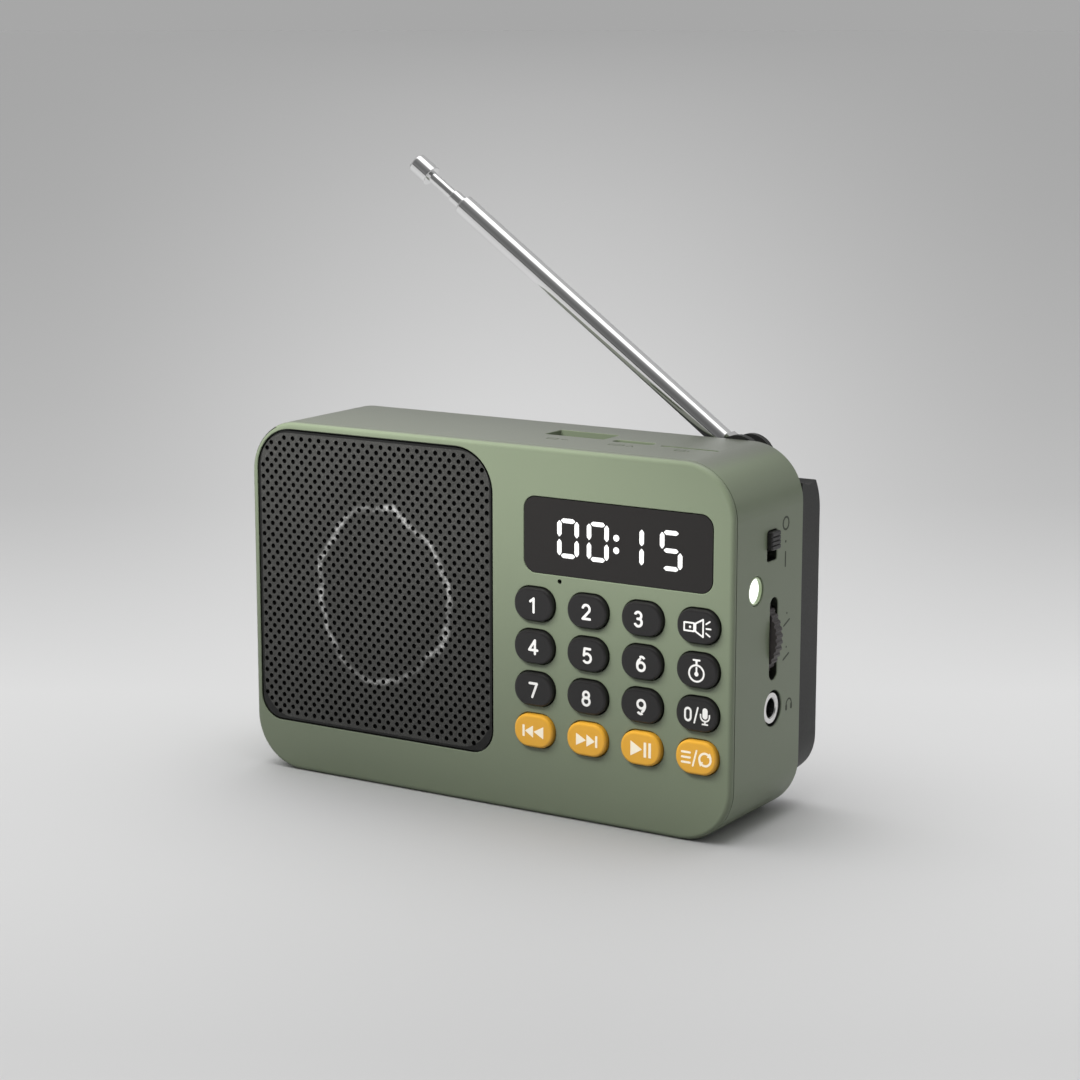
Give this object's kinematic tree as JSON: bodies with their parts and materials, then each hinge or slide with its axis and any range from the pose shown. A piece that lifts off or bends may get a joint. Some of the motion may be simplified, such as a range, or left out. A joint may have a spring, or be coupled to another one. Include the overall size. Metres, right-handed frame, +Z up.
{
  "type": "tabletop radio",
  "caption": "Pocket-size tabletop radio with perforated speaker grille, clock window, keypad, thumb volume wheel, card and USB sockets and a swinging telescopic antenna.",
  "frame": {"origin": "centre of the green case's underside", "axes": "+X to the right seen from the front, +Y towards the back, +Z up"},
  "size_m": [0.1087, 0.0359, 0.1205],
  "materials": {
    "case_green": "fine spark-eroded sage green moulding",
    "cover_black": "matte black moulding",
    "grille_metal": "satin dark grey powder coat, lightly worn",
    "cloth": "fine black dust cloth",
    "display_window": "satin smoked window",
    "module_white": "white light box",
    "switch_black": "black moulded switch",
    "board_green": "green solder mask",
    "chip_black": "epoxy package",
    "socket_steel": "plated steel",
    "socket_plastic": "black moulding",
    "bright_metal": "nickel plated",
    "knob_black": "matte black",
    "wheel_black": "matte black, knurled",
    "screw_steel": "black zinc and steel",
    "torch_lens": "milky LED lens",
    "speaker_frame": "black pressed steel",
    "magnet": "ferrite",
    "cone_paper": "pressed paper",
    "battery_wrap": "blue shrink wrap",
    "brass_contacts": "gold plated blades",
    "antenna_chrome": "polished chrome",
    "key_black": "fine matte black",
    "key_yellow": "satin yellow"
  },
  "bodies": {
    "case": {"front_panel": "case_green", "body_shell": "case_green", "rear_cover": "cover_black", "speaker_grille": "grille_metal", "grille_cloth": "cloth", "display_lens": "display_window", "display_module": "module_white", "tact_switches": "switch_black", "main_board": "board_green", "board_chips": "chip_black", "usb_a_shell": "socket_steel", "usb_a_insulator": "socket_plastic", "micro_usb_shell": "socket_steel", "micro_usb_insulator": "socket_plastic", "card_socket": "socket_steel", "headphone_jack_body": "socket_plastic", "headphone_jack_bush": "bright_metal", "power_switch_body": "socket_plastic", "volume_pot": "socket_plastic", "volume_screw": "screw_steel", "torch_led": "torch_lens", "torch_board": "board_green", "speaker_frame": "speaker_frame", "speaker_magnet": "magnet", "speaker_cone": "cone_paper", "speaker_dust_cap": "cone_paper", "battery_cell": "battery_wrap", "battery_contacts": "brass_contacts", "microphone_capsule": "bright_metal", "antenna_pivot_screw": "screw_steel", "case_screws": "screw_steel", "board_screws": "screw_steel", "speaker_screws": "screw_steel"},
    "key_1_cap": {"key_1": "key_black"},
    "key_2_cap": {"key_2": "key_black"},
    "key_3_cap": {"key_3": "key_black"},
    "key_light_cap": {"key_light": "key_black"},
    "key_4_cap": {"key_4": "key_black"},
    "key_5_cap": {"key_5": "key_black"},
    "key_6_cap": {"key_6": "key_black"},
    "key_timer_cap": {"key_timer": "key_black"},
    "key_7_cap": {"key_7": "key_black"},
    "key_8_cap": {"key_8": "key_black"},
    "key_9_cap": {"key_9": "key_black"},
    "key_zero_cap": {"key_zero": "key_black"},
    "key_prev_cap": {"key_prev": "key_yellow"},
    "key_next_cap": {"key_next": "key_yellow"},
    "key_play_pause_cap": {"key_play_pause": "key_yellow"},
    "key_mode_cap": {"key_mode": "key_yellow"},
    "power_slider": {"power_switch_knob": "knob_black"},
    "volume_dial": {"volume_wheel": "wheel_black"},
    "battery_hatch": {"battery_door": "cover_black"},
    "antenna_base": {"antenna_knuckle": "antenna_chrome", "antenna_tube_1": "antenna_chrome"},
    "antenna_stage_2": {"antenna_tube_2": "antenna_chrome"},
    "antenna_stage_3": {"antenna_tube_3": "antenna_chrome"},
    "antenna_stage_4": {"antenna_rod": "antenna_chrome", "antenna_tip": "antenna_chrome"}
  },
  "joints": [
    {"name": "key_1_press", "type": "slide", "parent": "case", "child": "key_1_cap", "axis": [0, 1, 0], "range_m": [0, 0.0006], "stiffness_N_per_m": 700},
    {"name": "key_2_press", "type": "slide", "parent": "case", "child": "key_2_cap", "axis": [0, 1, 0], "range_m": [0, 0.0006], "stiffness_N_per_m": 700},
    {"name": "key_3_press", "type": "slide", "parent": "case", "child": "key_3_cap", "axis": [0, 1, 0], "range_m": [0, 0.0006], "stiffness_N_per_m": 700},
    {"name": "key_light_press", "type": "slide", "parent": "case", "child": "key_light_cap", "axis": [0, 1, 0], "range_m": [0, 0.0006], "stiffness_N_per_m": 700},
    {"name": "key_4_press", "type": "slide", "parent": "case", "child": "key_4_cap", "axis": [0, 1, 0], "range_m": [0, 0.0006], "stiffness_N_per_m": 700},
    {"name": "key_5_press", "type": "slide", "parent": "case", "child": "key_5_cap", "axis": [0, 1, 0], "range_m": [0, 0.0006], "stiffness_N_per_m": 700},
    {"name": "key_6_press", "type": "slide", "parent": "case", "child": "key_6_cap", "axis": [0, 1, 0], "range_m": [0, 0.0006], "stiffness_N_per_m": 700},
    {"name": "key_timer_press", "type": "slide", "parent": "case", "child": "key_timer_cap", "axis": [0, 1, 0], "range_m": [0, 0.0006], "stiffness_N_per_m": 700},
    {"name": "key_7_press", "type": "slide", "parent": "case", "child": "key_7_cap", "axis": [0, 1, 0], "range_m": [0, 0.0006], "stiffness_N_per_m": 700},
    {"name": "key_8_press", "type": "slide", "parent": "case", "child": "key_8_cap", "axis": [0, 1, 0], "range_m": [0, 0.0006], "stiffness_N_per_m": 700},
    {"name": "key_9_press", "type": "slide", "parent": "case", "child": "key_9_cap", "axis": [0, 1, 0], "range_m": [0, 0.0006], "stiffness_N_per_m": 700},
    {"name": "key_zero_press", "type": "slide", "parent": "case", "child": "key_zero_cap", "axis": [0, 1, 0], "range_m": [0, 0.0006], "stiffness_N_per_m": 700},
    {"name": "key_prev_press", "type": "slide", "parent": "case", "child": "key_prev_cap", "axis": [0, 1, 0], "range_m": [0, 0.0006], "stiffness_N_per_m": 700},
    {"name": "key_next_press", "type": "slide", "parent": "case", "child": "key_next_cap", "axis": [0, 1, 0], "range_m": [0, 0.0006], "stiffness_N_per_m": 700},
    {"name": "key_play_pause_press", "type": "slide", "parent": "case", "child": "key_play_pause_cap", "axis": [0, 1, 0], "range_m": [0, 0.0006], "stiffness_N_per_m": 700},
    {"name": "key_mode_press", "type": "slide", "parent": "case", "child": "key_mode_cap", "axis": [0, 1, 0], "range_m": [0, 0.0006], "stiffness_N_per_m": 700},
    {"name": "power_slide", "type": "slide", "parent": "case", "child": "power_slider", "axis": [0, 0, -1], "range_m": [0, 0.0019]},
    {"name": "volume_turn", "type": "hinge", "parent": "case", "child": "volume_dial", "pos_m": [0.046, 0.0023, 0.0357], "axis": [0, 1, 0], "range_deg": [-150, 150]},
    {"name": "battery_door_slide", "type": "slide", "parent": "case", "child": "battery_hatch", "axis": [0, 0, -1], "range_m": [0, 0.005]},
    {"name": "antenna_swing", "type": "hinge", "parent": "case", "child": "antenna_base", "pos_m": [0.0397, 0.017, 0.0656], "axis": [0, 1, 0], "range_deg": [-35.58, 129.42]},
    {"name": "antenna_pull_2", "type": "slide", "parent": "antenna_base", "child": "antenna_stage_2", "axis": [-0.8133, 0, 0.5818], "range_m": [0, 0.0605]},
    {"name": "antenna_pull_3", "type": "slide", "parent": "antenna_stage_2", "child": "antenna_stage_3", "axis": [-0.8133, 0, 0.5818], "range_m": [0, 0.06]},
    {"name": "antenna_pull_4", "type": "slide", "parent": "antenna_stage_3", "child": "antenna_stage_4", "axis": [-0.8133, 0, 0.5818], "range_m": [0, 0.062]}
  ]
}
